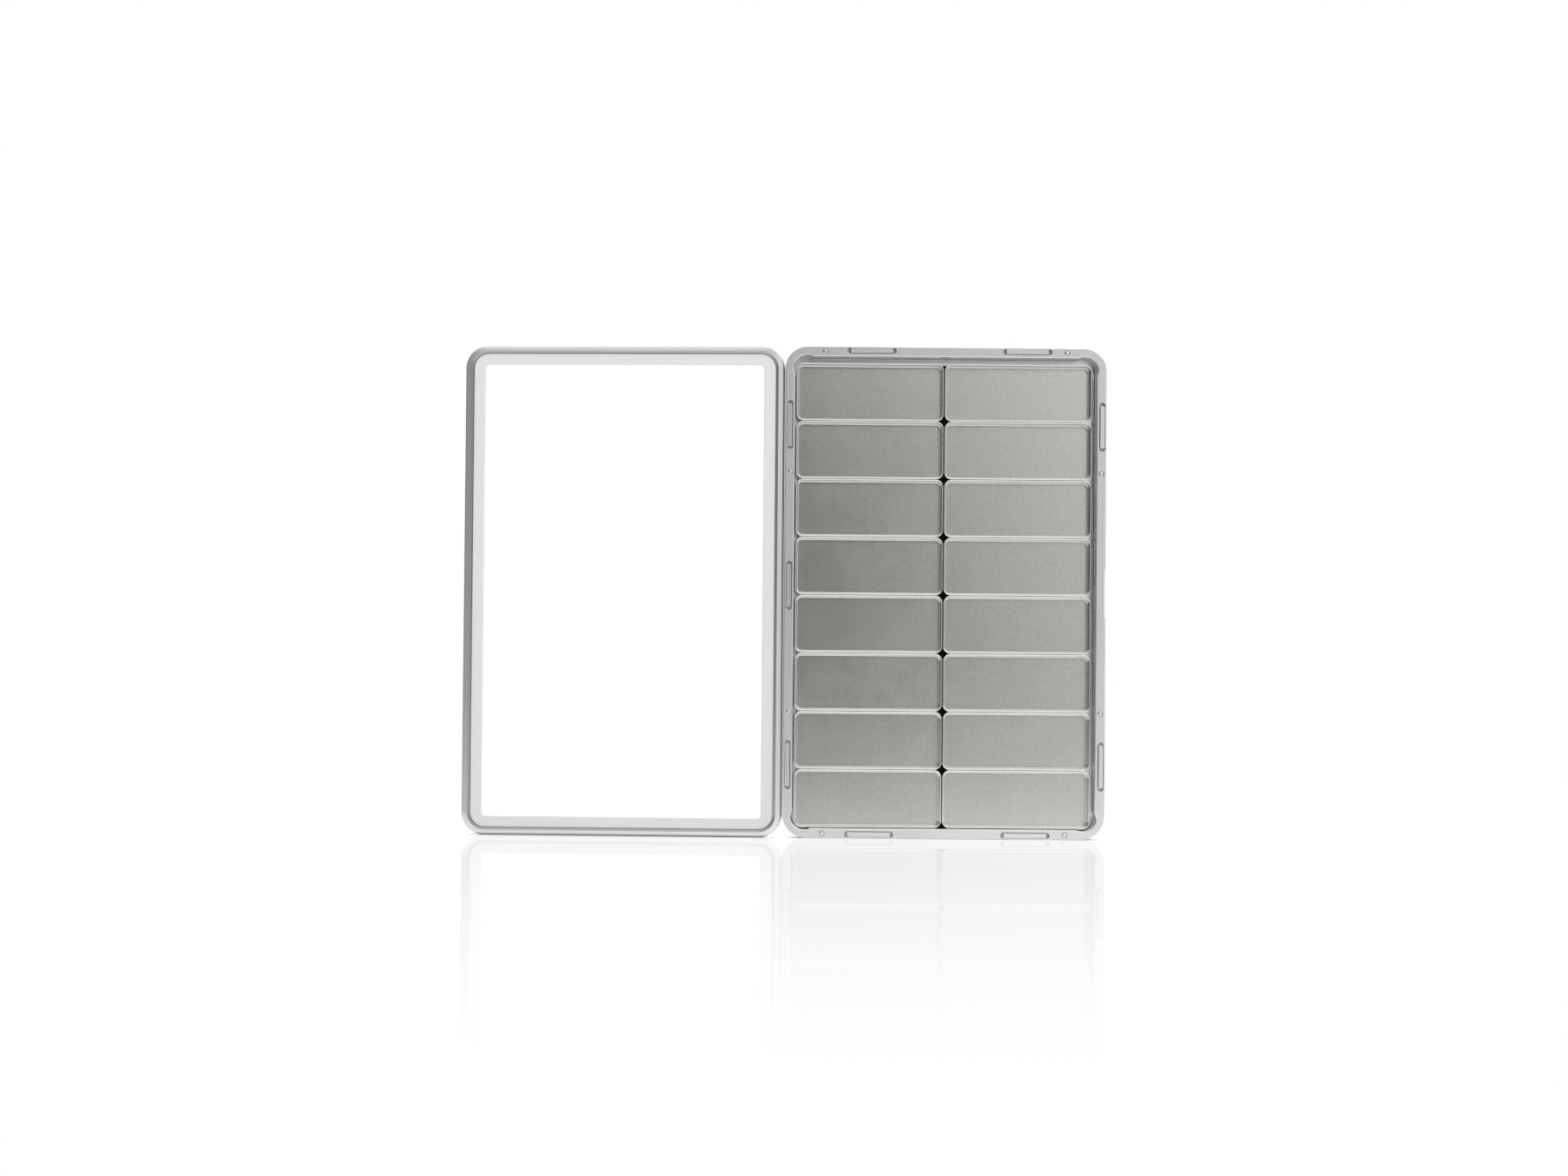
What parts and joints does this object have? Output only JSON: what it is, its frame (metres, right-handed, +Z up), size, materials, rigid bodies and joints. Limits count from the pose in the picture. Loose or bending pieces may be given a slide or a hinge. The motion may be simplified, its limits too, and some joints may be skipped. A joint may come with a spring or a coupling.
{
  "type": "watercolour palette tin",
  "caption": "Slim metal watercolour palette standing open: a milled tray of loose rectangular pans held by magnets, beside its lift-off lid with a white mixing surface.",
  "frame": {"origin": "middle of the base tray's standing edge, on the surface it stands on", "axes": "+X to the right along the open palette, from the lid towards the base; +Y from the open faces to the backs; +Z up"},
  "size_m": [0.1834, 0.0113, 0.14],
  "materials": {
    "tray_aluminium": "bead-blasted satin, with bright milled chamfers",
    "magnetic_rubber": "matt",
    "magnet_plate": "nickel plated, ground ends",
    "pan_steel": "fine grained satin, bright at the rims",
    "lid_steel": "satin",
    "tray_white": "satin border and smooth white well"
  },
  "bodies": {
    "base": {"base_tray": "tray_aluminium", "magnet_sheet": "magnetic_rubber", "bar_magnet_1": "magnet_plate", "bar_magnet_2": "magnet_plate", "bar_magnet_3": "magnet_plate", "bar_magnet_4": "magnet_plate", "bar_magnet_5": "magnet_plate", "bar_magnet_6": "magnet_plate", "bar_magnet_7": "magnet_plate", "bar_magnet_8": "magnet_plate", "bar_magnet_9": "magnet_plate", "disc_magnet_1": "magnet_plate", "disc_magnet_2": "magnet_plate", "disc_magnet_3": "magnet_plate", "disc_magnet_4": "magnet_plate", "disc_magnet_5": "magnet_plate", "disc_magnet_6": "magnet_plate", "disc_magnet_7": "magnet_plate", "disc_magnet_8": "magnet_plate"},
    "lid": {"lid_shell": "lid_steel", "mixing_tray": "tray_white"},
    "pan_left_1": {"pan_left_1": "pan_steel"},
    "pan_left_2": {"pan_left_2": "pan_steel"},
    "pan_left_3": {"pan_left_3": "pan_steel"},
    "pan_left_4": {"pan_left_4": "pan_steel"},
    "pan_left_5": {"pan_left_5": "pan_steel"},
    "pan_left_6": {"pan_left_6": "pan_steel"},
    "pan_left_7": {"pan_left_7": "pan_steel"},
    "pan_left_8": {"pan_left_8": "pan_steel"},
    "pan_right_1": {"pan_right_1": "pan_steel"},
    "pan_right_2": {"pan_right_2": "pan_steel"},
    "pan_right_3": {"pan_right_3": "pan_steel"},
    "pan_right_4": {"pan_right_4": "pan_steel"},
    "pan_right_5": {"pan_right_5": "pan_steel"},
    "pan_right_6": {"pan_right_6": "pan_steel"},
    "pan_right_7": {"pan_right_7": "pan_steel"},
    "pan_right_8": {"pan_right_8": "pan_steel"}
  },
  "joints": [
    {"name": "lid_carry", "type": "hinge", "parent": "base", "child": "lid", "pos_m": [-0.0461, -0.00435, 0], "axis": [0, 0, -1], "range_deg": [-184.4, 0]},
    {"name": "pan_left_1_lift", "type": "slide", "parent": "base", "child": "pan_left_1", "axis": [0, -1, 0], "range_m": [0, 0.02]},
    {"name": "pan_left_2_lift", "type": "slide", "parent": "base", "child": "pan_left_2", "axis": [0, -1, 0], "range_m": [0, 0.02]},
    {"name": "pan_left_3_lift", "type": "slide", "parent": "base", "child": "pan_left_3", "axis": [0, -1, 0], "range_m": [0, 0.02]},
    {"name": "pan_left_4_lift", "type": "slide", "parent": "base", "child": "pan_left_4", "axis": [0, -1, 0], "range_m": [0, 0.02]},
    {"name": "pan_left_5_lift", "type": "slide", "parent": "base", "child": "pan_left_5", "axis": [0, -1, 0], "range_m": [0, 0.02]},
    {"name": "pan_left_6_lift", "type": "slide", "parent": "base", "child": "pan_left_6", "axis": [0, -1, 0], "range_m": [0, 0.02]},
    {"name": "pan_left_7_lift", "type": "slide", "parent": "base", "child": "pan_left_7", "axis": [0, -1, 0], "range_m": [0, 0.02]},
    {"name": "pan_left_8_lift", "type": "slide", "parent": "base", "child": "pan_left_8", "axis": [0, -1, 0], "range_m": [0, 0.02]},
    {"name": "pan_right_1_lift", "type": "slide", "parent": "base", "child": "pan_right_1", "axis": [0, -1, 0], "range_m": [0, 0.02]},
    {"name": "pan_right_2_lift", "type": "slide", "parent": "base", "child": "pan_right_2", "axis": [0, -1, 0], "range_m": [0, 0.02]},
    {"name": "pan_right_3_lift", "type": "slide", "parent": "base", "child": "pan_right_3", "axis": [0, -1, 0], "range_m": [0, 0.02]},
    {"name": "pan_right_4_lift", "type": "slide", "parent": "base", "child": "pan_right_4", "axis": [0, -1, 0], "range_m": [0, 0.02]},
    {"name": "pan_right_5_lift", "type": "slide", "parent": "base", "child": "pan_right_5", "axis": [0, -1, 0], "range_m": [0, 0.02]},
    {"name": "pan_right_6_lift", "type": "slide", "parent": "base", "child": "pan_right_6", "axis": [0, -1, 0], "range_m": [0, 0.02]},
    {"name": "pan_right_7_lift", "type": "slide", "parent": "base", "child": "pan_right_7", "axis": [0, -1, 0], "range_m": [0, 0.02]},
    {"name": "pan_right_8_lift", "type": "slide", "parent": "base", "child": "pan_right_8", "axis": [0, -1, 0], "range_m": [0, 0.02]}
  ]
}
